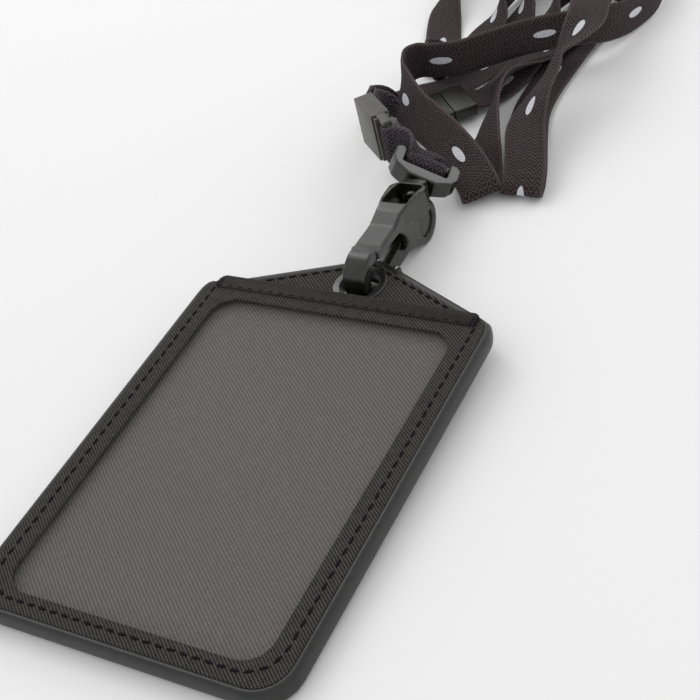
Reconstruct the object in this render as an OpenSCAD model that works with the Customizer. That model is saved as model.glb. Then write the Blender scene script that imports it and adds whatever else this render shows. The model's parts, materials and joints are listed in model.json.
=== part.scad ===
// Card holder on a neck strap, lying on a table. Millimetres, +Z up, the table is Z = 0.
// The sleeve leans on its hook, so its flap end is lifted by sleeve_lift degrees.

/* [Sleeve] */
// Width of the clear window
window_w = 57; // [45:0.5:75]
// Length of the clear window
window_l = 81; // [60:0.5:110]
// Corner radius of the window
window_r = 5.5; // [2:0.5:10]
// Fabric border beside the window
border_side = 5.2; // [4:0.1:9]
// Fabric border below the window
border_foot = 4.3; // [4:0.1:9]
// Fabric border above the window, up to the pocket mouth
border_mouth = 5.7; // [5:0.1:9]
// Width of the rolled binding round the edge
binding_w = 1.5; // [1:0.1:3]
// Corner radius of the bound edge
corner_r = 8; // [5:0.5:14]
// Height of the flap above the pocket mouth
flap_h = 15; // [13:0.5:22]
// Radius of the flap's tip
flap_tip_r = 6; // [4:0.5:9]
// Lift of the sleeve's flap end where it rests on the hook, in degrees
sleeve_lift = 2.7; // [2:0.1:4]

/* [Layers] */
// Thickness of each woven panel
fabric_t = 0.7; // [0.5:0.1:1.2]
// Thickness of the stiffener board
board_t = 0.8; // [0.5:0.1:1.5]
// Gap for the card
card_gap = 1.1; // [0.9:0.1:2.2]
// Thickness of the window film
film_t = 0.3; // [0.2:0.05:0.5]
// Thickness of the folded hem at the pocket mouth
hem_t = 0.5; // [0.3:0.1:1]
// Width of the folded hem at the pocket mouth
hem_w = 3; // [2:0.1:5]
// Width of the sewn-down strip at the pocket's sides and foot
seam_w = 2.6; // [2:0.1:4]

/* [Eyelet] */
// Bore of the eyelet
eyelet_bore = 8.8; // [7.2:0.1:10.6]
// Wall of the eyelet's barrel
eyelet_wall = 0.5; // [0.4:0.1:0.8]
// Width of the eyelet's flange outside the barrel
eyelet_flange = 1.1; // [0.8:0.1:1.6]
// Thickness of the eyelet's flange and of its washer
eyelet_t = 0.4; // [0.3:0.1:0.6]

/* [Hook] */
// Width of the hook's back and cheeks
hook_w = 6.6; // [5.4:0.1:8]
// Thickness of the hook's bar
hook_t = 2.8; // [2.2:0.1:3.4]
// Thickness of the hook's nose
nose_t = 2.4; // [2:0.1:2.8]
// Height of the throat, from the nose to the back
throat_h = 8.3; // [7.8:0.1:10]
// Outer radius of the gate boss
boss_r = 5.2; // [4.6:0.1:6.2]
// Radius of the gate's trunnion
trunnion_r = 3.2; // [2.6:0.1:3.6]
// Running clearance round the trunnion and the swivel post
run_gap = 0.08; // [0.05:0.01:0.1]
// Width of the gate's arm
gate_w = 3.2; // [2.4:0.1:3.8]
// Sideways rest of the hook's centre in the eyelet
hook_x = 0.4; // [0:0.1:0.4]

/* [Swivel] */
// Diameter of the swivel post
post_d = 3; // [2.4:0.1:3.6]
// Diameter of the post's mushroom head
head_d = 4.2; // [3.8:0.1:5]
// Width of the strap loop at its far bar
loop_w = 16; // [13.4:0.1:20]
// Thickness of the strap loop
loop_t = 4.4; // [4:0.1:6]

/* [Strap] */
// Width of the strap
strap_w = 10; // [8.4:0.1:12]
// Thickness of the strap
strap_t = 1; // [0.8:0.1:1.2]

/* [Buckle] */
// Length of the buckle's socket half
socket_l = 11; // [10:0.5:16]
// Thickness of the socket half
buckle_t = 4.6; // [4.4:0.1:6]
// Wall of the socket half
socket_wall = 0.9; // [0.7:0.1:1.2]

/* [Hidden] */
$fn = 48;

// Sleeve, drawn flat with its back on Z = 0 and the window's centre at the origin.
fabric_x = window_w / 2 + border_side;
fabric_foot = -window_l / 2 - border_foot;
mouth_y = window_l / 2 + border_mouth;
outer_x = fabric_x + binding_w;
outer_foot = fabric_foot - binding_w;
shoulder_drop = 5.2;
tip_y = mouth_y + flap_h - flap_tip_r;
board_inset = 1.2;
lining_z = fabric_t + board_t;
pocket_z = lining_z + fabric_t;
film_z = pocket_z + card_gap;
frame_z = film_z + film_t;
sleeve_t = frame_z + fabric_t;
barrel_r = eyelet_bore / 2 + eyelet_wall;
flange_r = barrel_r + eyelet_flange;
eyelet_y = mouth_y + flange_r + 0.1;

// Hook, drawn in the Y-Z plane with the eyelet's centre at Y = 0 and the table at Z = 0.
lift_s = sin(sleeve_lift);
lift_c = cos(sleeve_lift);
flap_mid = pocket_z / 2;
bore_z = (eyelet_y - outer_foot) * lift_s + flap_mid * lift_c;
flap_tip = mouth_y + flap_h - eyelet_y;
bar_back = eyelet_bore / 2 - 1.7;
bend_w = eyelet_bore - 3.2;
nose_z = 0.3;
back_z = nose_z + nose_t + throat_h;
bend_r = 1.4;
nose_end = flap_tip + 3.6;
gate_tip = flap_tip + 0.9;
boss_y = flap_tip + 17;
boss_z = boss_r + 0.1;
seat_y = boss_y + boss_r - 1.7;
seat_z = back_z - 0.1;
seat_t = 3;

// The strap's coil lies still beside this point, where the loop's post meets the hook.
post_y = 52.54;
bore_y = post_y - seat_y;
foot_y = bore_y - (eyelet_y - outer_foot) * lift_c + flap_mid * lift_s;
yoke_w = head_d + 4.8;
post_lean = 12;
head_back = seat_t / 2 + head_d / 2 * sin(post_lean) + 0.15;

// Strap loop: from the post's seat to the far bar, turned about the post.
loop_near = seat_t / 2 + 1.2;
loop_l = 9;
loop_slot_l = 3.4;
loop_bar = 2;
loop_turn = 30;
slot_y = loop_near + loop_l - loop_bar - loop_slot_l;
bar_y = loop_near + loop_l - loop_bar / 2;

// Buckle, standing on its edge. Its X runs from the strap to the hook, its width along Z.
buckle_at = [-19.5, 72.8, 13.7];
buckle_turn = -40.8;
buckle_w = strap_w + 2 * (socket_wall + 0.3);
plug_gap = 0.15;
bar_d = 1.8;
socket_bar = [1.5 - socket_l / 2, 0.9];
socket_back = 3 - socket_l / 2;
plug_bar_x = socket_l / 2 + 3.8;
latch_l = 4.2;
latch_w = 3.4;

// Safety clasp under the strap's folds, lying flat. Its X runs to the long strap.
clasp_at = [-14, 100, 3.2];
clasp_turn = 45;
clasp_t = 3;
clasp_l = 11;
clasp_w = strap_w + 2.4;

// Rows of a strap's route: its middle, then the heading and the rise of its width, in degrees.
tab_route = [
    [-12, 66.3, 13.7, 0, 90], [-10.4, 66.6, 13.7, 192, 84], [-8.2, 67.2, 13.4, 192, 70],
    [-5.8, 67.4, 12.8, 192, 54], [-3.8, 66.6, 12, 192, 40], [-2.6, 65, 11.3, 192, 31], [-2.2, 64, 11, 192, 30]
];
clasp_route = [
    [-21.8, 77.4, 13.7, 0, 90], [-23.6, 82, 12.8, 0, 88], [-26.6, 87, 9.4, -60, 75],
    [-27, 90.5, 6, -60, 50], [-24.5, 92.5, 3.8, -60, 20], [-21, 93.5, 3.2, -55, 5],
    [-17.9, 96.1, 3.2, -45, 0]
];
neck_route = [
    [-10.1, 103.9, 3.2, -45, 0], [-6.5, 109, 1.4, -30, 0], [-4.5, 118, 0.9, -8, 0], [-4, 127, 0.9, 0, 0],
    [-4, 138, 1, 0, 5], [-5, 147, 3.4, 0, 35], [-5, 156, 5.6, 0, 85],
    [-4, 161, 5.6, 0, 90], [-1, 164, 5.6, 0, 90], [2, 161, 5.6, 0, 90],
    [2, 155, 5.4, 0, 80], [2, 145, 3.4, 0, 25], [2, 135, 2.6, 0, 5], [0, 125, 3, 10, 10],
    [-3, 115, 4.8, 10, 30], [-1.6, 105, 6, 5, 62], [0, 95, 5.4, 5, 55], [2.6, 85, 4, 15, 36],
    [5, 77, 2.2, 25, 13], [7.4, 70, 1.2, 28, 4],
    [9.6, 66, 1.8, 35, 8], [10, 65, 3.2, 40, 13], [8.2, 67, 4.8, 43, 18],
    [2, 73, 6.8, 47, 24], [-5.6, 79, 8.4, 47, 26], [-12.8, 84, 9.4, 44, 32], [-19, 89, 10, 35, 42],
    [-24, 96, 10, 25, 62], [-26.6, 101.6, 10, 0, 84], [-28, 107, 10, 0, 90], [-26, 110, 10, 0, 90],
    [-22, 110.4, 10, 0, 90], [-15, 112.6, 10, 0, 90], [-8, 119, 10, 0, 90], [-2, 124, 10, 0, 90],
    [5, 128, 10, 0, 90], [12, 132, 9.4, 0, 90], [17, 138, 7.6, 0, 90], [20, 147, 6, 0, 90],
    [22, 159, 5.6, 0, 90], [19, 173, 5.6, 0, 90], [9, 185, 5.6, 0, 90], [-8, 191, 5.6, 0, 90],
    [-26, 187, 5.6, 0, 90], [-37, 176, 5.6, 0, 90], [-41, 163, 5.6, 10, 80],
    [-39, 153, 3, 15, 25], [-35, 142, 1, 20, 0], [-31, 132, 1, 20, 0], [-29, 124, 3.2, 20, 35],
    [-28, 118.4, 6, 10, 85],
    [-25, 115, 6, 0, 90], [-22.4, 118, 5.8, 0, 85], [-21.6, 125, 3.8, 10, 40], [-21, 134, 1, 15, 0],
    [-20.6, 144, 2.4, 10, 20], [-21, 154, 5, 0, 80],
    [-20, 165, 5.6, 0, 90], [-12, 175, 5.6, 0, 90], [-2, 178, 5.6, 0, 90], [8, 173, 5.6, 0, 90],
    [13, 163, 6, 0, 88],
    [13.4, 155, 9.4, 14, 40], [13.6, 145, 14, 27, -5], [14, 134, 17, 27, -10], [16, 124, 17, 27, -8],
    [15.6, 116, 15.6, -5, 18], [13.4, 109, 13.6, -45, 38], [13.4, 102, 12.2, -20, 38],
    [13, 94, 10.8, 0, 30], [13.4, 86.4, 8.6, 4, 10], [15.6, 80, 7.2, 3, 3], [18, 73, 5.2, 3, 2],
    [18.8, 68.6, 3.6, 3, 0], [18.6, 68, 1.8, 3, 0], [17.6, 72, 0.8, 3, 0],
    [15.4, 79, 0.8, 6, 0], [11.6, 89, 0.8, 8, 0], [7.6, 101, 0.8, 8, 0], [6.2, 112, 0.8, 5, 0],
    [6.4, 128, 0.8, 0, 0], [7, 142, 1.2, 0, 4], [7.6, 150, 3.6, 0, 35],
    [8, 160, 5.6, 0, 90], [4, 169, 5.6, 0, 90], [-4, 172.4, 5.6, 0, 90], [-12, 169, 5.6, 0, 90],
    [-15, 160, 5.4, 0, 85],
    [-14, 150, 3.2, 5, 30], [-12.6, 140, 0.8, 5, 0], [-12.6, 130, 0.8, 0, 0], [-15, 120, 0.8, -15, 0],
    [-20, 112.4, 0.8, -30, 0], [-27.6, 107, 1, -50, 0], [-31, 101, 2.4, -60, 12], [-31, 95, 5.6, -60, 40],
    [-29, 89, 9, -60, 70], [-25.4, 82.4, 13, 0, 86], [-23.9, 78.4, 13.7, 0, 90], [-22.9, 76.6, 13.7, 0, 90]
];

// Points of an arc round c, from angle a to angle b.
function arc(c, r, a, b, n = 8) = [for (i = [0:n]) c + r * [cos(a + (b - a) * i / n), sin(a + (b - a) * i / n)]];

// Lays a sleeve piece down: its foot on the table, its flap end lifted.
module on_sleeve() {
    translate([0, foot_y, 0]) rotate([sleeve_lift, 0, 0]) translate([0, -outer_foot, 0]) children();
}

// House-shaped outline of the sleeve, drawn inwards by inset.
module house(inset) {
    hull() {
        for (s = [-1, 1]) {
            translate([s * (outer_x - corner_r), outer_foot + corner_r]) circle(corner_r - inset);
            translate([s * (outer_x - corner_r), mouth_y - shoulder_drop]) circle(corner_r - inset);
        }
        translate([0, tip_y]) circle(flap_tip_r - inset);
    }
}

// The part of a flat outline that lies below the pocket mouth.
module below_mouth() {
    intersection() {
        children();
        translate([-outer_x, outer_foot]) square([2 * outer_x, mouth_y - outer_foot]);
    }
}

module rounded_window(inset) {
    w = window_w - 2 * inset;
    l = window_l - 2 * inset;
    r = window_r - inset;
    square([w, l - 2 * r], center = true);
    square([w - 2 * r, l], center = true);
    for (x = [-1, 1], y = [-1, 1]) translate([x * (w / 2 - r), y * (l / 2 - r)]) circle(r);
}

// A flat layer of the sleeve with the hole for the eyelet's barrel.
module pierced_layer(z, t, inset) {
    difference() {
        translate([0, 0, z]) linear_extrude(t) house(inset);
        translate([0, eyelet_y, z - 1]) cylinder(r = barrel_r, h = t + 2);
    }
}

module back_panel() {
    color("#2b2a28") on_sleeve() pierced_layer(0, fabric_t, binding_w);
}

module stiffener_board() {
    color("#4a4a4a") on_sleeve() pierced_layer(fabric_t, board_t, binding_w + board_inset);
}

module lining_panel() {
    color("#55534f") on_sleeve() pierced_layer(lining_z, fabric_t, binding_w);
}

module pocket_gusset() {
    color("#1f1f1e") on_sleeve() translate([0, 0, pocket_z]) linear_extrude(card_gap) difference() {
        below_mouth() house(binding_w);
        house(binding_w + seam_w);
    }
}

module window_film() {
    color("#8f8d89") on_sleeve() translate([0, 0, film_z]) linear_extrude(film_t) below_mouth() house(binding_w);
}

module front_frame() {
    color("#33322f") on_sleeve() translate([0, 0, frame_z]) linear_extrude(fabric_t) difference() {
        below_mouth() house(binding_w);
        rounded_window(0);
    }
}

// Tape folded over the front panel's upper edge, at the pocket mouth.
module mouth_hem() {
    color("#3a3937") on_sleeve() intersection() {
        translate([0, 0, film_z]) linear_extrude(film_t + fabric_t + hem_t) house(binding_w);
        union() {
            translate([-outer_x, mouth_y - hem_w, sleeve_t]) cube([2 * outer_x, hem_w, hem_t]);
            translate([-outer_x, mouth_y, film_z]) cube([2 * outer_x, hem_t, film_t + fabric_t + hem_t]);
        }
    }
}

// Rolled binding: full height round the pocket, thinner along the flap's slopes.
module edge_binding() {
    color("#242423") on_sleeve() {
        linear_extrude(pocket_z) difference() {
            house(0);
            house(binding_w);
        }
        translate([0, 0, pocket_z]) linear_extrude(sleeve_t - pocket_z) difference() {
            below_mouth() house(0);
            house(binding_w);
        }
    }
}

module eyelet_barrel() {
    color("#151515") on_sleeve() translate([0, eyelet_y, 0]) rotate_extrude() {
        translate([eyelet_bore / 2, -2 * eyelet_t]) square([eyelet_wall, pocket_z + 3 * eyelet_t]);
        translate([eyelet_bore / 2, pocket_z]) square([flange_r - eyelet_bore / 2, eyelet_t]);
        translate([eyelet_bore / 2, -2 * eyelet_t]) square([eyelet_wall + eyelet_flange / 2, eyelet_t]);
    }
}

module eyelet_washer() {
    color("#191919") on_sleeve() translate([0, eyelet_y, -eyelet_t]) difference() {
        cylinder(r = flange_r, h = eyelet_t);
        translate([0, 0, -1]) cylinder(r = barrel_r, h = eyelet_t + 2);
    }
}

// Puts a shape drawn in the hook's Y-Z plane at its place, extruded across X by w.
module across(w) {
    translate([hook_x + w / 2, bore_y, 0]) rotate([90, 0, -90]) mirror([1, 0, 0]) linear_extrude(w) children();
}

// Bar of the hook: nose, bend through the eyelet and back up to the yoke's root.
module bar_profile() {
    bend_c = [-bar_back + hook_t + bend_r, nose_z + nose_t + bend_r];
    out_r = bend_r + hook_t;
    polygon(concat(
        [[nose_end, nose_z + 0.5], [nose_end, nose_z + nose_t]],
        arc(bend_c, bend_r, 270, 180),
        arc([-bar_back + hook_t + 3.2, back_z - 3.2], 3.2, 180, 90),
        [[boss_y - 12, back_z - 0.3], [boss_y - 5, back_z - 0.6], [boss_y - 5, back_z + hook_t + 1.4]],
        [[boss_y - 9, back_z + hook_t + 0.8], [boss_y - 13, back_z + hook_t - 0.6]],
        [[flap_tip - 3, back_z + hook_t - 0.8], [flap_tip - 6, back_z + hook_t]],
        arc([-bar_back + 5.6, back_z + hook_t - 5.6], 5.6, 90, 180),
        arc([-bar_back + out_r, nose_z + out_r], out_r, 180, 270),
        [[nose_end - 1, nose_z]]
    ));
}

// Two cheeks of the web, from the back down to the gate boss.
module cheek_profile() {
    polygon(concat(
        [[boss_y - 14, back_z + 1], [boss_y - 11, back_z - 0.8]],
        arc([boss_y - 12.6, boss_z + 1.5], 3.4, 60, -20, 5),
        [[boss_y - 11, boss_z + 0.2], [boss_y - 9.2, boss_z - 1.6]],
        arc([boss_y, boss_z], boss_r, 230, 400, 14),
        [[boss_y - 3, back_z + 1.5]]
    ));
    translate([boss_y, boss_z]) circle(boss_r);
}

// Arched yoke that carries the swivel post, seen from above.
module yoke_plan() {
    polygon(concat(
        [[-hook_w / 2, boss_y - 9]],
        arc([-yoke_w / 2 + 3, seat_y - seat_t / 2 - 2], 3, 180, 110, 6),
        [[-2.6, seat_y + seat_t / 2], [2.6, seat_y + seat_t / 2]],
        arc([yoke_w / 2 - 3, seat_y - seat_t / 2 - 2], 3, 70, 0, 6),
        [[hook_w / 2, boss_y - 9]]
    ));
}

module yoke_side() {
    polygon([[boss_y - 9, back_z], [boss_y - 9, back_z + hook_t + 0.8], [boss_y - 5, back_z + hook_t + 1.4],
        [boss_y - 1, back_z + hook_t + 1], [seat_y + seat_t / 2, seat_z + head_d / 2 + 0.4],
        [seat_y + seat_t / 2, seat_z - head_d / 2 - 0.4], [boss_y - 3, seat_z - head_d / 2 - 0.4]]);
}

// The swivel post's own frame: its axis along +Y through the seat, leaning in the loose seat.
module on_post() {
    translate([hook_x, bore_y + seat_y, seat_z]) rotate([0, 0, post_lean]) children();
}

module hook_body() {
    head_room = seat_y - seat_t / 2 - (boss_y - 6.5);
    color("#2d2d2b") difference() {
        union() {
            across(bend_w) bar_profile();
            intersection() {
                across(hook_w) bar_profile();
                translate([-outer_x, bore_y + 4, back_z - 4]) cube([2 * outer_x, boss_y, 20]);
            }
            across(hook_w) cheek_profile();
            intersection() {
                across(yoke_w) yoke_side();
                translate([hook_x, bore_y, 0]) linear_extrude(30) yoke_plan();
            }
        }
        // Slot between the cheeks for the gate.
        translate([hook_x - gate_w / 2 - 0.2, bore_y + boss_y - 15, -1])
            cube([gate_w + 0.4, 15 + boss_r + 1, back_z - 0.6]);
        // Window behind the seat for the post's head.
        translate([hook_x - head_d / 2 - 1, bore_y + boss_y - 6.5, seat_z - head_d / 2 - 0.3])
            cube([head_d + 2, head_room, 20]);
        // Bores for the trunnion and the post.
        translate([hook_x - hook_w, bore_y + boss_y, boss_z]) rotate([0, 90, 0])
            cylinder(r = trunnion_r + run_gap, h = 2 * hook_w);
        on_post() translate([0, -seat_t, 0]) rotate([-90, 0, 0]) cylinder(d = post_d + 2 * run_gap, h = 2 * seat_t);
    }
}

// Gate: a round trunnion in the boss and an arm that closes on the nose.
module hook_gate() {
    arm_low = nose_z + nose_t + 0.15;
    color("#1c1c1b") union() {
        translate([hook_x - hook_w / 2 + 0.5, bore_y + boss_y, boss_z]) rotate([0, 90, 0])
            cylinder(r = trunnion_r, h = hook_w - 1);
        across(gate_w) polygon([[gate_tip, arm_low], [nose_end + 0.6, arm_low], [nose_end + 1.2, arm_low - 1.2],
            [boss_y - 1, boss_z - 3], [boss_y - 1, boss_z + 2.6], [boss_y - 6, boss_z + 1.6], [gate_tip, arm_low + 2.2]]);
    }
}

// Strap loop: mushroom post, tapered body and a slot round the far bar.
module on_loop() {
    on_post() rotate([0, loop_turn, 0]) children();
}

module swivel_loop() {
    color("#33332f") on_loop() difference() {
        union() {
            translate([0, loop_near + 1, 0]) rotate([90, 0, 0]) cylinder(d = post_d, h = loop_near + 1 + head_back + 0.4);
            translate([0, -head_back, 0]) rotate([90, 0, 0]) cylinder(d = head_d, h = 1.6);
            translate([0, 0, -loop_t / 2]) linear_extrude(loop_t) polygon([[-3.4, loop_near], [3.4, loop_near],
                [loop_w / 2 - 1.2, slot_y - 1.6], [loop_w / 2, slot_y + 0.6], [loop_w / 2, loop_near + loop_l - 1],
                [loop_w / 2 - 1, loop_near + loop_l], [1 - loop_w / 2, loop_near + loop_l],
                [-loop_w / 2, loop_near + loop_l - 1], [-loop_w / 2, slot_y + 0.6], [1.2 - loop_w / 2, slot_y - 1.6]]);
        }
        translate([-strap_w / 2 - 0.4, slot_y, -loop_t]) cube([strap_w + 0.8, loop_slot_l, 2 * loop_t]);
        for (s = [-1, 1]) translate([-strap_w / 2 - 0.4, slot_y + loop_slot_l - 0.1, s * loop_t / 2 - loop_t / 4])
            cube([strap_w + 0.8, loop_bar + 1, loop_t / 2]);
    }
}

// Unit vector of a strap's width from its heading and rise.
function width_dir(row) = [cos(row[4]) * cos(row[3]), cos(row[4]) * sin(row[3]), sin(row[4])];
function unit(v) = v / norm(v);
function middle(row) = [row[0], row[1], row[2]];
// Direction of a route at row i.
function along(route, i) =
    unit(middle(route[min(i + 1, len(route) - 1)]) - middle(route[max(i - 1, 0)]));

// A strap of width w and thickness t swept along a route, one rectangular ring per row.
module ribbon(route, w, t) {
    n = len(route);
    rings = [for (i = [0:n - 1])
        let(d = along(route, i), v = width_dir(route[i]), s = unit(v - d * (d * v)), f = cross(d, s))
        for (k = [[-1, -1], [1, -1], [1, 1], [-1, 1]]) middle(route[i]) + k[0] * s * w / 2 + k[1] * f * t / 2];
    sides = [for (i = [0:n - 2], k = [0:3]) let(a = 4 * i + k, b = 4 * i + (k + 1) % 4)
        each [[a, b, b + 4], [a, b + 4, a + 4]]];
    ends = [[0, 3, 2], [0, 2, 1], [4 * n - 4, 4 * n - 3, 4 * n - 2], [4 * n - 4, 4 * n - 2, 4 * n - 1]];
    polyhedron(rings, [for (f = concat(sides, ends)) [f[2], f[1], f[0]]], convexity = 10);
}

// Short webbing that joins the buckle's plug to the strap loop.
module tab_webbing() {
    color("#3a3436") ribbon(tab_route, strap_w, 1.6 * strap_t);
}

module on_buckle() {
    translate(buckle_at) rotate([0, 0, buckle_turn]) children();
}

// A box given by its two corners.
module span(a, b) {
    translate(a) cube(b - a);
}

// Plug: a plate with a latch tongue, a collar and a frame round its webbing bar.
module buckle_plug() {
    x0 = plug_gap - socket_l / 2 + 3.7;
    x1 = socket_l / 2 + plug_gap;
    y = buckle_t / 2 - socket_wall - plug_gap;
    z = buckle_w / 2 - socket_wall - plug_gap;
    color("#5f5d55") on_buckle() difference() {
        union() {
            span([x0, -y, -z], [x1 + 0.6, y, z]);
            span([x1, -buckle_t / 2 + 0.4, -z - 0.6], [x1 + 1.2, buckle_t / 2 - 0.4, z + 0.6]);
            for (s = [-1, 1]) translate([x1, 0, s * (buckle_w / 2 - 0.5)]) rotate([0, 0, 0])
                span([0, -1.1, -0.5], [plug_bar_x - x1 + 0.9, 1.1, 0.5]);
            translate([plug_bar_x, 0, -buckle_w / 2]) cylinder(d = bar_d, h = buckle_w);
        }
        // Gaps that free the latch tongue on three sides.
        for (s = [-1, 1]) translate([x0 - 1, -y - 1, s * (latch_w / 2 + 0.4) - 0.4])
            cube([latch_l + 1, 2 * y + 2, 0.8]);
    }
}

// Socket: a sleeve for the plug, with a latch window and a strap bar in its end pocket.
module buckle_socket() {
    h = buckle_w / 2;
    y = buckle_t / 2;
    color("#62605a") on_buckle() difference() {
        union() {
            difference() {
                span([-socket_l / 2, -y, -h], [socket_l / 2, y, h]);
                span([-socket_l / 2 + 3.6, socket_wall - y, socket_wall - h],
                    [socket_l / 2 + 1, y - socket_wall, h - socket_wall]);
                span([-socket_l / 2 - 1, socket_wall - y + 0.4, socket_wall - h], [socket_back, y + 1, h - socket_wall]);
            }
            translate([socket_bar[0], socket_bar[1], -h + 0.2]) cylinder(d = bar_d, h = 2 * h - 0.4);
        }
        // Window that the latch tongue clicks into.
        span([-socket_l / 2 + 3.9, 0, -latch_w / 2], [-socket_l / 2 + 3.9 + latch_l, y + 1, latch_w / 2]);
    }
}

module on_clasp() {
    translate(clasp_at) rotate([0, 0, clasp_turn]) children();
}

// Outer half of the safety clasp, on the long strap.
module clasp_socket() {
    color("#2e2d2b") on_clasp() difference() {
        span([-0.5, -clasp_w / 2, -clasp_t / 2], [clasp_l / 2, clasp_w / 2, clasp_t / 2]);
        span([-1, -clasp_w / 2 + 1, -clasp_t / 2 + 0.8], [clasp_l / 2 - 2.4, clasp_w / 2 - 1, clasp_t / 2 - 0.8]);
        span([clasp_l / 2 - 1.6, -strap_w / 2 - 0.1, -0.6], [clasp_l / 2 + 1, strap_w / 2 + 0.1, 0.6]);
    }
}

// Inner half of the safety clasp, with its two prongs.
module clasp_plug() {
    w = clasp_w / 2 - 1.15;
    color("#77756c") on_clasp() difference() {
        union() {
            span([-clasp_l / 2, -clasp_w / 2, -clasp_t / 2], [-0.65, clasp_w / 2, clasp_t / 2]);
            for (s = [-1, 1]) span([-1, s * (w - 1) - 1, -clasp_t / 2 + 0.95], [clasp_l / 2 - 2.6, s * (w - 1) + 1, clasp_t / 2 - 0.95]);
        }
        span([-clasp_l / 2 - 1, -strap_w / 2 - 0.1, -0.6], [1.6 - clasp_l / 2, strap_w / 2 + 0.1, 0.6]);
    }
}

// Stub of strap from the buckle's bar to the safety clasp.
module clasp_webbing() {
    color("#3a3234") ribbon(clasp_route, strap_w, strap_t);
}

// The neck loop: from the clasp, through its folds, to the buckle's bar.
module neck_strap() {
    color("#3a3234") ribbon(neck_route, strap_w, strap_t);
}

back_panel();
stiffener_board();
lining_panel();
pocket_gusset();
window_film();
front_frame();
mouth_hem();
edge_binding();
eyelet_barrel();
eyelet_washer();
hook_body();
hook_gate();
swivel_loop();
tab_webbing();
buckle_plug();
buckle_socket();
clasp_socket();
clasp_plug();
clasp_webbing();
neck_strap();
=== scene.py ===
import json
import math
import bmesh
import bpy
from mathutils import Matrix, Vector

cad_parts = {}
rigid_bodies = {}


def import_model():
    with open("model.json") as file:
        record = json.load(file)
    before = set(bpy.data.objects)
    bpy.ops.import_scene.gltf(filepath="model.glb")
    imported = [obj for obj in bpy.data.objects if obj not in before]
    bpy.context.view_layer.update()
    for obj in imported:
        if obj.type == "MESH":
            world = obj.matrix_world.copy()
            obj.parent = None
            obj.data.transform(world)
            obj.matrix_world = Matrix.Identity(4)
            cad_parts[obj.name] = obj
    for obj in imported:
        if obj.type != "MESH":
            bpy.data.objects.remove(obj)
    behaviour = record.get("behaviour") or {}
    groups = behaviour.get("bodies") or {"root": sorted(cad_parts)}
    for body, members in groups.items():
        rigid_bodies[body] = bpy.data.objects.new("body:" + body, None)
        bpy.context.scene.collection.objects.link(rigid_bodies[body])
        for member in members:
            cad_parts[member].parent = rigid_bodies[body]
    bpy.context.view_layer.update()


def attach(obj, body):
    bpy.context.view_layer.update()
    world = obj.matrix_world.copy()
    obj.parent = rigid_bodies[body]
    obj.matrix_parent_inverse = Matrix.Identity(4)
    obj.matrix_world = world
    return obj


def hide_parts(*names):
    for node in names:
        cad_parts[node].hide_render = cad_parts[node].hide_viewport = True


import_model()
mm = 0.001


# ---------------------------------------------------------------- camera
# The viewer stands low at the sleeve's right foot corner and looks up
# along the hook, so the strap's folds run out of the picture's top.
camera = bpy.data.objects.new("camera", bpy.data.cameras.new("camera"))
bpy.context.scene.collection.objects.link(camera)
camera.data.lens = 68.88
camera.data.sensor_width = 36
camera.data.clip_start = 0.01
right = Vector((0.86656928, 0.45208297, -0.21137329))
up = Vector((-0.15227481, 0.64287192, 0.75068507))
camera.matrix_world = Matrix.Translation((0.1371, -0.16484, 0.17701)) @ Matrix(
    (right, up, right.cross(up))).transposed().to_4x4()
bpy.context.scene.camera = camera


# ---------------------------------------------------------------- webbing
# Polyester strap, 10 mm wide, woven in a fine herringbone with a plain
# selvedge. A small white oval is printed on it about every 28 mm.
class Wire:
    """A socket of a material's nodes that can be added, multiplied and so on."""

    def __init__(self, tree, socket):
        self.tree, self.socket = tree, socket

    def node(self, kind, inputs=(), out=0, **settings):
        """Adds a node, sets and links its inputs by index or name, and returns one output."""
        n = self.tree.nodes.new(kind)
        for name, value in settings.items():
            setattr(n, name, value)
        for key, value in dict(inputs).items():
            if isinstance(value, Wire):
                self.tree.links.new(value.socket, n.inputs[key])
            else:
                n.inputs[key].default_value = value
        return Wire(self.tree, n.outputs[out])

    def math(self, operation, *values):
        return self.node("ShaderNodeMath", dict(enumerate((self,) + values)), operation=operation)

    def __add__(self, v): return self.math("ADD", v)
    def __sub__(self, v): return self.math("SUBTRACT", v)
    def __mul__(self, v): return self.math("MULTIPLY", v)
    def __truediv__(self, v): return self.math("DIVIDE", v)
    def power(self, v): return self.math("POWER", v)
    def wave(self): return (self * (2 * math.pi)).math("SINE") * 0.5 + 0.5
    def clip(self): return self.node("ShaderNodeClamp", {0: self})
    def step(self, low, high):
        return self.node("ShaderNodeMapRange", {0: self, 1: low, 2: high, 3: 0.0, 4: 1.0})

    def xyz(self):
        n = self.tree.nodes.new("ShaderNodeSeparateXYZ")
        self.tree.links.new(self.socket, n.inputs[0])
        return [Wire(self.tree, s) for s in n.outputs]

    def blend(self, a, b):
        """Colour a where this is 0, colour b where it is 1."""
        return self.node("ShaderNodeMix", {0: self, 6: a, 7: b}, out=2, data_type="RGBA")

    def noise(self, scale, detail=3.0):
        return self.node("ShaderNodeTexNoise", {"Vector": self, "Scale": scale, "Detail": detail})


def srgb(r, g, b):
    return [((c / 255 + 0.055) / 1.055) ** 2.4 if c > 10 else c / 3295 for c in (r, g, b)] + [1.0]


def new_finish(name, **constants):
    """A material; returns it, its shader's node and a Wire of Object coordinates in mm."""
    finish = bpy.data.materials.new(name)
    finish.use_nodes = True
    shader = finish.node_tree.nodes["Principled BSDF"]
    for key, value in constants.items():
        shader.inputs[key.replace("_", " ")].default_value = value
    start = Wire(finish.node_tree, None)
    place = start.node("ShaderNodeTexCoord", out=3)
    return finish, shader, place.node("ShaderNodeVectorMath", {0: place, 3: 1000.0}, operation="SCALE")


def bump(shader, height, depth):
    """Turns a height from 0 to 1 into relief of that depth in metres."""
    n = height.node("ShaderNodeBump", {"Height": height, "Strength": 1.0, "Distance": depth})
    height.tree.links.new(n.socket, shader.inputs["Normal"])


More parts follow.
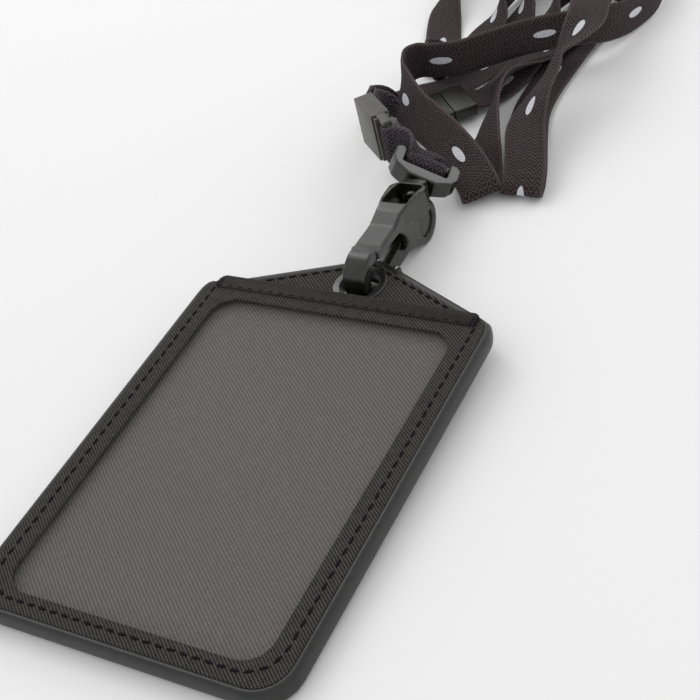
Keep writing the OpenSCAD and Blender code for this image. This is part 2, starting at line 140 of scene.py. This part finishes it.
def feed(shader, name, wire):
    wire.tree.links.new(wire.socket, shader.inputs[name])


def webbing_finish(name, dark, pale, printed):
    finish, shader, place = new_finish(name, Roughness=0.85, Sheen_Weight=0.04, Sheen_Roughness=0.5,
                                       Specular_IOR_Level=0.12)
    cloth = place.node("ShaderNodeUVMap", uv_map="cloth").xyz()
    across, run = cloth[0], cloth[1]
    zigzag = across.math("PINGPONG", 1.25)
    rib = (zigzag * 1.1 + run * 0.95).wave()
    weft = (run * 2.3).wave() * (across * 2.9).wave()
    edge = (across - 5.0).math("ABSOLUTE").step(4.3, 4.7)
    grain = place.noise(1.6, 4.0)
    tone = (rib * 0.45 + weft * 0.45 + grain * 0.6 - 0.32).clip()
    colour = tone.blend(dark, pale)
    colour = (edge * 0.4).blend(colour, pale)
    if printed:
        from_oval = run.math("FLOORED_MODULO", 28.0) - 14.0
        oval = ((across - 5.0) / 1.05).power(2.0) + (from_oval / 3.1).power(2.0)
        ink = (oval + weft * 0.12).step(1.0, 0.88)
        colour = ink.blend(colour, srgb(205, 205, 212))
    feed(shader, "Base Color", colour)
    bump(shader, rib * 0.7 + weft * 0.35 + edge * 0.3, 0.00016)
    return finish


strap_black = webbing_finish("webbing_black", srgb(13, 9, 10), srgb(98, 85, 88), True)
tab_black = webbing_finish("webbing_tab", srgb(12, 10, 12), srgb(104, 94, 100), False)


def smooth_route(rows, steps):
    """A Catmull-Rom run through the rows' middles and width directions."""
    knots = []
    for x, y, z, heading, rise in rows:
        a, e = math.radians(heading), math.radians(rise)
        width_way = Vector((math.cos(e) * math.cos(a), math.cos(e) * math.sin(a), math.sin(e)))
        knots.append((Vector((x, y, z)), width_way))
    line = []
    for i in range(len(knots) - 1):
        k = [knots[max(i - 1, 0)], knots[i], knots[i + 1], knots[min(i + 2, len(knots) - 1)]]
        for s in range(steps + (i == len(knots) - 2)):
            t = s / steps
            w = (-t**3 + 2 * t**2 - t, 3 * t**3 - 5 * t**2 + 2, -3 * t**3 + 4 * t**2 + t, t**3 - t**2)
            line.append([sum((k[j][q] * w[j] * 0.5 for j in range(4)), Vector()) for q in (0, 1)])
    return line


def lay_webbing(name, rows, width, thickness, finish, steps=6, across=10):
    """A woven strap along a route: a flat loop of points with rounded selvedges at each step."""
    line = smooth_route(rows, steps)
    outline = []
    for i in range(across + 1):
        u = 2 * i / across - 1
        outline.append((u, 0.5 * (1 - 0.65 * abs(u) ** 8)))
    outline += [(u, -h) for u, h in reversed(outline)]
    n = len(outline)
    verts, uvs, run = [], [], 0.0
    for i, (middle, side) in enumerate(line):
        along = (line[min(i + 1, len(line) - 1)][0] - line[max(i - 1, 0)][0]).normalized()
        side = (side - along * side.dot(along)).normalized()
        face = along.cross(side)
        if i:
            run += (middle - line[i - 1][0]).length
        for u, h in outline:
            verts.append(middle + side * u * width / 2 + face * h * thickness)
            uvs.append((5 + 5 * u, run * 1000))
    faces = [(i * n + k, i * n + (k + 1) % n, (i + 1) * n + (k + 1) % n, (i + 1) * n + k)
             for i in range(len(line) - 1) for k in range(n)]
    faces += [tuple(range(n - 1, -1, -1)), tuple((len(line) - 1) * n + k for k in range(n))]
    mesh = bpy.data.meshes.new(name)
    mesh.from_pydata(verts, [], faces)
    shape = bmesh.new()
    shape.from_mesh(mesh)
    bmesh.ops.recalc_face_normals(shape, faces=shape.faces)
    shape.to_mesh(mesh)
    shape.free()
    layer = mesh.uv_layers.new(name="cloth")
    for loop in mesh.loops:
        layer.data[loop.index].uv = uvs[loop.vertex_index]
    mesh.shade_smooth()
    mesh.materials.append(finish)
    piece = bpy.data.objects.new(name, mesh)
    bpy.context.scene.collection.objects.link(piece)
    return piece, [p for p, _ in line]


# ---------------------------------------------------------------- neck strap
# One loop of strap, folded to and fro beside the hook. It starts at the
# safety clasp and ends round the bar of the buckle's socket.
neck_rows = [
    (-0.0101, 0.1039, 0.0032, -45, 0), (-0.0065, 0.109, 0.0014, -30, 0), (-0.0045, 0.118, 0.0009, -8, 0),
    (-0.004, 0.127, 0.0009, 0, 0), (-0.004, 0.138, 0.001, 0, 5), (-0.005, 0.147, 0.0034, 0, 35),
    (-0.005, 0.156, 0.0056, 0, 85), (-0.004, 0.161, 0.0056, 0, 90), (-0.001, 0.164, 0.0056, 0, 90),
    (0.002, 0.161, 0.0056, 0, 90), (0.002, 0.155, 0.0054, 0, 80), (0.002, 0.145, 0.0034, 0, 25),
    (0.002, 0.135, 0.0026, 0, 5), (0, 0.125, 0.003, 10, 10), (-0.003, 0.115, 0.0048, 10, 30),
    (-0.0016, 0.105, 0.006, 5, 62), (0, 0.095, 0.0054, 5, 55), (0.0026, 0.085, 0.004, 15, 36),
    (0.005, 0.077, 0.0022, 25, 13), (0.0074, 0.07, 0.0012, 28, 4), (0.0096, 0.066, 0.0018, 35, 8),
    (0.01, 0.065, 0.0032, 40, 13), (0.0082, 0.067, 0.0048, 43, 18), (0.002, 0.073, 0.0068, 47, 24),
    (-0.0056, 0.079, 0.0084, 47, 26), (-0.0128, 0.084, 0.0094, 44, 32), (-0.019, 0.089, 0.01, 35, 42),
    (-0.024, 0.096, 0.01, 25, 62), (-0.0266, 0.1016, 0.01, 0, 84), (-0.028, 0.107, 0.01, 0, 90),
    (-0.026, 0.11, 0.01, 0, 90), (-0.022, 0.1104, 0.01, 0, 90), (-0.015, 0.1126, 0.01, 0, 90),
    (-0.008, 0.119, 0.01, 0, 90), (-0.002, 0.124, 0.01, 0, 90), (0.005, 0.128, 0.01, 0, 90),
    (0.012, 0.132, 0.0094, 0, 90), (0.017, 0.138, 0.0076, 0, 90), (0.02, 0.147, 0.006, 0, 90),
    (0.022, 0.159, 0.0056, 0, 90), (0.019, 0.173, 0.0056, 0, 90), (0.009, 0.185, 0.0056, 0, 90),
    (-0.008, 0.191, 0.0056, 0, 90), (-0.026, 0.187, 0.0056, 0, 90), (-0.037, 0.176, 0.0056, 0, 90),
    (-0.041, 0.163, 0.0056, 10, 80), (-0.039, 0.153, 0.003, 15, 25), (-0.035, 0.142, 0.001, 20, 0),
    (-0.031, 0.132, 0.001, 20, 0), (-0.029, 0.124, 0.0032, 20, 35), (-0.028, 0.1184, 0.006, 10, 85),
    (-0.025, 0.115, 0.006, 0, 90), (-0.0224, 0.118, 0.0058, 0, 85), (-0.0216, 0.125, 0.0038, 10, 40),
    (-0.021, 0.134, 0.001, 15, 0), (-0.0206, 0.144, 0.0024, 10, 20), (-0.021, 0.154, 0.005, 0, 80),
    (-0.02, 0.165, 0.0056, 0, 90), (-0.012, 0.175, 0.0056, 0, 90), (-0.002, 0.178, 0.0056, 0, 90),
    (0.008, 0.173, 0.0056, 0, 90), (0.013, 0.163, 0.006, 0, 88), (0.0134, 0.155, 0.0094, 14, 40),
    (0.0136, 0.145, 0.014, 27, -5), (0.014, 0.134, 0.017, 27, -10), (0.016, 0.124, 0.017, 27, -8),
    (0.0156, 0.116, 0.0156, -5, 18), (0.0134, 0.109, 0.0136, -45, 38), (0.0134, 0.102, 0.0122, -20, 38),
    (0.013, 0.094, 0.0108, 0, 30), (0.0134, 0.0864, 0.0086, 4, 10), (0.0156, 0.08, 0.0072, 3, 3),
    (0.018, 0.073, 0.0052, 3, 2), (0.0188, 0.0686, 0.0036, 3, 0), (0.0186, 0.068, 0.0018, 3, 0),
    (0.0176, 0.072, 0.0008, 3, 0), (0.0154, 0.079, 0.0008, 6, 0), (0.0116, 0.089, 0.0008, 8, 0),
    (0.0076, 0.101, 0.0008, 8, 0), (0.0062, 0.112, 0.0008, 5, 0), (0.0064, 0.128, 0.0008, 0, 0),
    (0.007, 0.142, 0.0012, 0, 4), (0.0076, 0.15, 0.0036, 0, 35), (0.008, 0.16, 0.0056, 0, 90),
    (0.004, 0.169, 0.0056, 0, 90), (-0.004, 0.1724, 0.0056, 0, 90), (-0.012, 0.169, 0.0056, 0, 90),
    (-0.015, 0.16, 0.0054, 0, 85), (-0.014, 0.15, 0.0032, 5, 30), (-0.0126, 0.14, 0.0008, 5, 0),
    (-0.0126, 0.13, 0.0008, 0, 0), (-0.015, 0.12, 0.0008, -15, 0), (-0.02, 0.1124, 0.0008, -30, 0),
    (-0.0276, 0.107, 0.001, -50, 0), (-0.031, 0.101, 0.0024, -60, 12), (-0.031, 0.095, 0.0056, -60, 40),
    (-0.029, 0.089, 0.009, -60, 70), (-0.0254, 0.0824, 0.013, 0, 86), (-0.0239, 0.0784, 0.0137, 0, 90),
    (-0.0229, 0.0766, 0.0137, 0, 90),
]
neck, neck_line = lay_webbing("neck_strap_woven", neck_rows, 10 * mm, 1 * mm, strap_black)
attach(neck, "strap")
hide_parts("neck_strap")
neck_length = sum((b - a).length for a, b in zip(neck_line, neck_line[1:]))


# ---------------------------------------------------------------- clasp stub
# A short run of the same strap, from the buckle's bar to the clasp. Its
# other end is sewn round the clasp's inner half.
stub_rows = [
    (-0.0218, 0.0774, 0.0137, 0, 90), (-0.0236, 0.082, 0.0128, 0, 88), (-0.0266, 0.087, 0.0094, -60, 75),
    (-0.027, 0.0905, 0.006, -60, 50), (-0.0245, 0.0925, 0.0038, -60, 20), (-0.021, 0.0935, 0.0032, -55, 5),
    (-0.0179, 0.0961, 0.0032, -45, 0),
]
stub, _ = lay_webbing("clasp_stub_woven", stub_rows, 10 * mm, 1 * mm, tab_black)
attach(stub, "strap")
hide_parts("clasp_webbing")


# ---------------------------------------------------------------- tab
# Doubled webbing between the plug's bar and the strap loop. It twists by
# about 60 degrees on the way.
tab_rows = [
    (-0.012, 0.0663, 0.0137, 0, 90), (-0.0096, 0.0668, 0.0136, 192, 77), (-0.0066, 0.0668, 0.013, 192, 59),
    (-0.0042, 0.0659, 0.0121, 192, 42), (-0.0024, 0.0641, 0.0111, 192, 30),
]
tab, _ = lay_webbing("tab_woven", tab_rows, 9.6 * mm, 1.6 * mm, tab_black, steps=8)
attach(tab, "tab")
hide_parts("tab_webbing")


# ---------------------------------------------------------------- folds round the bars
# Where webbing turns back round a bar it makes a small roll. One sits on
# the strap loop's far bar, one on each bar of the buckle.
def roll(name, centre, bar, radius, width, body):
    """A turn of webbing round a bar that runs along the direction bar."""
    bar = Vector(bar).normalized()
    out = bar.orthogonal().normalized()
    over = bar.cross(out)
    rows = []
    rise, heading = math.degrees(math.asin(bar.z)), math.degrees(math.atan2(bar.y, bar.x))
    for i in range(17):
        a = math.radians(i * 22.5)
        spot = Vector(centre) + (out * math.cos(a) + over * math.sin(a)) * radius
        rows.append((*spot, heading, rise))
    piece, _ = lay_webbing(name, rows, width, 0.8 * mm, tab_black, steps=3)
    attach(piece, body)
    return piece


lean = math.radians(12)
turn = math.radians(30)
post = Vector((0.0004, 0.05254, 0.0109))
post_axis = Vector((-math.sin(lean), math.cos(lean), 0))
loop_bar = Vector((math.cos(lean) * math.cos(turn), math.sin(lean) * math.cos(turn), -math.sin(turn)))
roll("loop_roll", post + post_axis * 10.6 * mm, loop_bar, 1.45 * mm, 9.6 * mm, "tab")
buckle_run = Vector((0.757, -0.6534, 0))
buckle_at = Vector((-0.0195, 0.0728, 0.0137))
roll("plug_roll", buckle_at + buckle_run * 9.3 * mm, (0, 0, 1), 1.35 * mm, 9.6 * mm, "tab")
roll("socket_roll", buckle_at - buckle_run * 4.2 * mm + Vector((0.6534, 0.757, 0)) * 0.9 * mm, (0, 0, 1),
     1.3 * mm, 9.8 * mm, "strap")


# ---------------------------------------------------------------- moulded parts
# Hook, gate, strap loop and both buckles are moulded in acetal and nylon:
# every edge has a small radius, and the skin has a faint grain.
def only(*objects):
    """Selects these objects and nothing else."""
    for o in bpy.context.scene.objects:
        o.select_set(False)
    for o in objects:
        o.select_set(True)
    bpy.context.view_layer.objects.active = objects[-1]


def moulded(node, body, radius, finish, angle=28):
    """A copy of a CAD node with its facets joined and its edges rounded."""
    source = bpy.data.objects[node]
    piece = bpy.data.objects.new(node + "_moulded", source.data.copy())
    bpy.context.scene.collection.objects.link(piece)
    only(piece)
    bpy.ops.object.mode_set(mode="EDIT")
    bpy.ops.mesh.select_all(action="SELECT")
    bpy.ops.mesh.remove_doubles(threshold=0.00002)
    bpy.ops.mesh.dissolve_limited(angle_limit=math.radians(1.5))
    bpy.ops.object.mode_set(mode="OBJECT")
    rounding = piece.modifiers.new("rounding", "BEVEL")
    rounding.width = radius
    rounding.segments = 3
    rounding.limit_method = "ANGLE"
    rounding.angle_limit = math.radians(angle)
    bpy.ops.object.modifier_apply(modifier="rounding")
    bpy.ops.object.shade_smooth_by_angle(angle=math.radians(35))
    piece.data.materials.clear()
    piece.data.materials.append(finish)
    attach(piece, body)
    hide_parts(node)
    return piece


def flowing(node, body, voxel, passes, finish):
    """A copy of a CAD node run over with a fine grid and relaxed, so all its edges flow together."""
    source = bpy.data.objects[node]
    piece = bpy.data.objects.new(node + "_moulded", source.data.copy())
    bpy.context.scene.collection.objects.link(piece)
    only(piece)
    grid = piece.modifiers.new("grid", "REMESH")
    grid.mode = "VOXEL"
    grid.voxel_size = voxel
    bpy.ops.object.modifier_apply(modifier="grid")
    relax = piece.modifiers.new("relax", "SMOOTH")
    relax.factor = 0.5
    relax.iterations = passes
    bpy.ops.object.modifier_apply(modifier="relax")
    piece.data.shade_smooth()
    piece.data.materials.clear()
    piece.data.materials.append(finish)
    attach(piece, body)
    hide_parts(node)
    return piece


def plastic_finish(name, dark, pale, rough):
    finish, shader, place = new_finish(name, Specular_IOR_Level=0.62)
    cloud = place.noise(0.35, 3.0)
    speck = place.noise(9.0, 2.0)
    feed(shader, "Base Color", cloud.step(0.35, 0.7).blend(dark, pale))
    feed(shader, "Roughness", cloud * 0.12 + speck * 0.1 + (rough - 0.1))
    bump(shader, speck * 0.5 + place.noise(2.5, 2.0) * 0.5, 0.00002)
    return finish


acetal_black = plastic_finish("acetal_black", srgb(14, 14, 13), srgb(30, 30, 26), 0.24)
nylon_olive = plastic_finish("nylon_olive", srgb(52, 51, 45), srgb(68, 67, 59), 0.4)
nylon_black = plastic_finish("nylon_black", srgb(22, 22, 20), srgb(36, 35, 32), 0.42)

flowing("hook_body", "hook", 0.22 * mm, 18, acetal_black)
moulded("hook_gate", "gate", 0.3 * mm, acetal_black)
flowing("swivel_loop", "tab", 0.2 * mm, 16, acetal_black)
moulded("buckle_plug", "tab", 0.22 * mm, nylon_olive)
socket = moulded("buckle_socket", "strap", 0.3 * mm, nylon_olive)
clasp_out = moulded("clasp_socket", "strap", 0.25 * mm, nylon_black)
clasp_in = moulded("clasp_plug", "strap", 0.25 * mm, nylon_black)


# ---------------------------------------------------------------- sleeve cloth
# Two panels of black polyester twill with a stiff board between them. The
# twill's lines run up to the right; the lining behind the window is grey.
sleeve_lift = math.radians(2.7)
sleeve_foot = -46.3
sleeve_foot_in_frame = -75.3


def on_sleeve(x, y, z):
    """A point of the flat sleeve, in mm from the window's centre, laid on the table as it leans."""
    y -= sleeve_foot
    return Vector((x, sleeve_foot_in_frame + y * math.cos(sleeve_lift) - z * math.sin(sleeve_lift),
                   y * math.sin(sleeve_lift) + z * math.cos(sleeve_lift))) * mm


def twill_finish(name, dark, pale, pitch, depth, above_mouth=None):
    finish, shader, place = new_finish(name, Sheen_Weight=0.03, Sheen_Roughness=0.4, Specular_IOR_Level=0.12)
    x, y, _ = place.xyz()
    slant = ((x * 0.8 + y * 1.0) / pitch).wave()
    warp = (x / (pitch * 0.62)).wave()
    weft = (y / (pitch * 0.62)).wave()
    knit = slant * 0.6 + warp * weft * 0.5
    uneven = place.noise(0.9, 4.0)
    fuzz = place.noise(5.0, 3.0)
    shade = (knit * 0.9 + fuzz * 0.3 - 0.15 + (uneven - 0.5) * 0.4).clip()
    colour = shade.blend(dark, pale)
    if above_mouth:
        colour = y.step(16.9, 17.1).blend(colour, shade.blend(*above_mouth))
    feed(shader, "Base Color", colour)
    feed(shader, "Roughness", fuzz * 0.1 + 0.85)
    bump(shader, knit + fuzz * 0.25, depth)
    return finish


twill_colours = srgb(16, 15, 14), srgb(92, 90, 85)
cloth_black = twill_finish("twill_black", *twill_colours, 0.72, 0.0001)
cloth_grey = twill_finish("twill_grey", srgb(77, 74, 71), srgb(128, 123, 119), 0.85, 0.00002,
                          above_mouth=twill_colours)
tape_black = twill_finish("tape_black", srgb(14, 13, 12), srgb(78, 76, 72), 0.6, 0.00008)
board_black = plastic_finish("board_black", srgb(28, 28, 28), srgb(44, 44, 44), 0.6)


def dress(node, finish):
    o = bpy.data.objects[node]
    o.data.materials.clear()
    o.data.materials.append(finish)


dress("back_panel", cloth_black)
dress("lining_panel", cloth_grey)
dress("pocket_gusset", cloth_black)
dress("stiffener_board", board_black)
moulded("front_frame", "sleeve", 0.3 * mm, cloth_black, angle=40)
hem = moulded("mouth_hem", "sleeve", 0.2 * mm, tape_black, angle=40)
hem_reach = 31.2 * mm
for v in hem.data.vertices:
    v.co.x = max(-hem_reach, min(v.co.x, hem_reach))


# ---------------------------------------------------------------- window film
# Clear soft vinyl, welded under the frame. It is slightly wavy, so its
# shine breaks up over the grey lining.
film, film_shader, film_place = new_finish("vinyl_clear", Roughness=0.3, IOR=1.3, Alpha=0.07,
                                           Base_Color=srgb(120, 118, 116))
bump(film_shader, film_place.noise(0.08, 2.0), 0.0003)
dress("window_film", film)


# ---------------------------------------------------------------- binding
# A smooth rolled edging of soft vinyl, folded over the cut edge of all the
# layers and stitched along its inner side.
vinyl, vinyl_shader, vinyl_place = new_finish("binding_vinyl", Specular_IOR_Level=0.5)
feed(vinyl_shader, "Base Color",
     vinyl_place.noise(0.5).step(0.3, 0.7).blend(srgb(17, 17, 17), srgb(28, 28, 27)))
feed(vinyl_shader, "Roughness", vinyl_place.noise(3.0) * 0.2 + 0.3)
bump(vinyl_shader, vinyl_place.noise(4.0), 0.00003)


def arc_points(cx, cy, r, a, b, n):
    return [(cx + r * math.cos(math.radians(a + (b - a) * i / n)),
             cy + r * math.sin(math.radians(a + (b - a) * i / n))) for i in range(n + 1)]


def rolled_edging(name, finish):
    """A rolled bead round the sleeve: as high as the pocket below its mouth, lower round the flap."""
    slope = math.degrees(math.atan2(20.2, 29.2)) * 0.686
    side, low, high, corner_r = 27.2, -38.3, 41, 8
    tip, tip_r = 55.2, 6
    pocket_top, flap_top = 4.42, 2.3
    ring = (arc_points(-side, low, corner_r, 180, 270, 10) + arc_points(side, low, corner_r, 270, 360, 10)
            + arc_points(side, high, corner_r, 0, 90 - slope, 8)
            + arc_points(0, tip, tip_r, 90 - slope, 90 + slope, 6)
            + arc_points(-side, high, corner_r, 90 + slope, 180, 8))
    dense = []
    for (ax, ay), (bx, by) in zip(ring, ring[1:] + ring[:1]):
        parts = max(1, round(math.hypot(bx - ax, by - ay) / 2))
        dense += [(ax + (bx - ax) * k / parts, ay + (by - ay) * k / parts) for k in range(parts)]
    verts, n = [], 20
    count = len(dense)
    for i, (x, y) in enumerate(dense):
        (ax, ay), (bx, by) = dense[i - 1], dense[(i + 1) % count]
        d = Vector((bx - ax, by - ay)).normalized()
        outward = Vector((d.y, -d.x))
        drop = min(max((y - 44.6) / 3.2, 0), 1)
        top = pocket_top - (pocket_top - flap_top) * drop * drop * (3 - 2 * drop)
        for k in range(n):
            a = 2 * math.pi * k / n
            px = 1.02 * math.copysign(abs(math.cos(a)) ** 0.8, math.cos(a)) - 0.98
            pz = top / 2 + top / 2 * math.copysign(abs(math.sin(a)) ** 0.85, math.sin(a))
            crease = 0.16 * math.exp(-((a - 1.9) / 0.22) ** 2)
            spot = Vector((x, y)) + outward * (px - 0.04)
            verts.append(on_sleeve(spot.x, spot.y, max(pz - crease, 0.02)))
    faces = [(i * n + k, ((i + 1) % count) * n + k, ((i + 1) % count) * n + (k + 1) % n, i * n + (k + 1) % n)
             for i in range(count) for k in range(n)]
    mesh = bpy.data.meshes.new(name)
    mesh.from_pydata(verts, [], faces)
    shape = bmesh.new()
    shape.from_mesh(mesh)
    bmesh.ops.recalc_face_normals(shape, faces=shape.faces)
    shape.to_mesh(mesh)
    shape.free()
    mesh.shade_smooth()
    mesh.materials.append(finish)
    piece = bpy.data.objects.new(name, mesh)
    bpy.context.scene.collection.objects.link(piece)
    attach(piece, "sleeve")
    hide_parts("edge_binding")
    return piece


rolled_edging("binding_rolled", vinyl)


# ---------------------------------------------------------------- eyelet
# Pressed brass eyelet, lacquered black. Its rolled flange holds the flap's
# layers together, and the washer backs it underneath.
lacquer, lacquer_shader, lacquer_place = new_finish("lacquer_black", Specular_IOR_Level=0.6,
                                                    Coat_Weight=0.25, Coat_Roughness=0.2)
feed(lacquer_shader, "Base Color",
     lacquer_place.noise(0.8).step(0.3, 0.8).blend(srgb(12, 12, 12), srgb(26, 26, 27)))
feed(lacquer_shader, "Roughness", lacquer_place.noise(2.0) * 0.15 + 0.24)
dress("eyelet_washer", lacquer)
moulded("eyelet_barrel", "sleeve", 0.16 * mm, lacquer, angle=40)


# ---------------------------------------------------------------- stitching
# Lockstitch in dull black thread, about 2.6 mm long: round the window, along
# the flap's slopes, and bar tacks at the ends of the pocket's mouth.
thread, thread_shader, thread_place = new_finish("thread_black", Roughness=0.75, Specular_IOR_Level=0.15)
feed(thread_shader, "Base Color",
     (thread_place.noise(6.0)).blend(srgb(3, 3, 5), srgb(20, 20, 26)))
bump(thread_shader, thread_place.noise(8.0), 0.00004)


def one_stitch(length, thick):
    only_none()
    bpy.ops.mesh.primitive_uv_sphere_add(segments=8, ring_count=6, radius=0.5)
    stitch = bpy.context.object
    bpy.ops.object.mode_set(mode="EDIT")
    bpy.ops.mesh.select_all(action="SELECT")
    bpy.ops.transform.resize(value=(length, thick, thick * 0.8))
    bpy.ops.object.mode_set(mode="OBJECT")
    return stitch


def only_none():
    for o in bpy.context.scene.objects:
        o.select_set(False)


def stitched(name, runs, pitch, length, thick):
    """Stitches along runs of flat sleeve points (x, y) at a height z, joined as one piece."""
    model = one_stitch(length * mm, thick * mm)
    shape = bmesh.new()
    for points, z in runs:
        legs = [(Vector(a), Vector(b)) for a, b in zip(points, points[1:])]
        total = sum((b - a).length for a, b in legs)
        count = max(2, round(total / pitch))
        for i in range(count):
            at, left = total * (i + 0.5) / count, 0
            for a, b in legs:
                if at <= (b - a).length or (a, b) == legs[-1]:
                    break
                at -= (b - a).length
            spot = a + (b - a).normalized() * at
            turn = math.atan2((b - a).y, (b - a).x) + 0.09 * (-1) ** i
            place = (Matrix.Translation(on_sleeve(spot.x, spot.y, z)) @ Matrix.Rotation(sleeve_lift, 4, "X")
                     @ Matrix.Rotation(turn, 4, "Z"))
            start = len(shape.verts)
            shape.from_mesh(model.data)
            shape.verts.ensure_lookup_table()
            bmesh.ops.transform(shape, matrix=place, verts=shape.verts[start:])
    mesh = bpy.data.meshes.new(name)
    shape.to_mesh(mesh)
    shape.free()
    mesh.shade_smooth()
    mesh.materials.append(thread)
    piece = bpy.data.objects.new(name, mesh)
    bpy.context.scene.collection.objects.link(piece)
    bpy.data.objects.remove(model)
    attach(piece, "sleeve")
    return piece


window_seam = ([(-31.6, 43.4)] + arc_points(-24.6, -35.4, 7, 180, 270, 6)
               + arc_points(24.4, -35.4, 7, 270, 360, 6) + [(31.4, 43.4)])
mouth_seam = [(-31.6, 43.6), (31.4, 43.6)]
stitched("seam_window", [(window_seam, 4.34), (mouth_seam, 4.62)], 2.6, 1.9, 0.66)
flap_seam = [(-27.4, 47.1), (-26, 47.7), (-3.5, 57.6), (0, 58.6), (3.5, 57.6), (26, 47.7), (27.4, 47.1)]
stitched("seam_flap", [(flap_seam, 2.26)], 2.6, 1.9, 0.62)
tacks = [([(s * 30.1, 43.3 + 0.5 * k), (s * 31.5, 43.5 + 0.5 * k)], 4.72) for s in (-1, 1) for k in range(5)]
stitched("bar_tacks", tacks, 0.8, 1.0, 0.42)


# ---------------------------------------------------------------- table and light
# A white sweep under soft daylight boxes: one large and high at the left, one
# lower at the back, and a narrow strip that draws a shine on the plastic.
paper, paper_shader, paper_place = new_finish("white_sweep", Roughness=0.9, Base_Color=srgb(240, 240, 240),
                                              Specular_IOR_Level=0.0)
only_none()
bpy.ops.mesh.primitive_plane_add(size=6, location=(0, 0, -0.0001))
floor = bpy.context.object
floor.name = "white_sweep"
floor.data.materials.append(paper)


def softbox(name, at, size, power):
    lamp = bpy.data.lights.new(name, "AREA")
    lamp.shape = "RECTANGLE"
    lamp.size, lamp.size_y, lamp.energy = size[0], size[1], power
    o = bpy.data.objects.new(name, lamp)
    bpy.context.scene.collection.objects.link(o)
    o.location = at
    o.rotation_euler = (Vector((0, 0.02, 0)) - Vector(at)).to_track_quat("-Z", "Y").to_euler()
    return o


softbox("key_box", (-0.55, 0.45, 0.75), (0.6, 0.6), 1.4)
softbox("back_box", (0.25, 0.95, 0.55), (0.7, 0.35), 1.4)
softbox("strip_box", (-0.38, 0.3, 0.48), (0.03, 0.4), 0.22)
softbox("fill_box", (0.8, -0.45, 0.7), (0.7, 0.7), 0.45)
world = bpy.data.worlds.new("studio")
world.use_nodes = True
world.node_tree.nodes["Background"].inputs["Color"].default_value = (1, 1, 1, 1)
world.node_tree.nodes["Background"].inputs["Strength"].default_value = 0.83
bpy.context.scene.world = world
bpy.context.scene.view_settings.view_transform = "Standard"
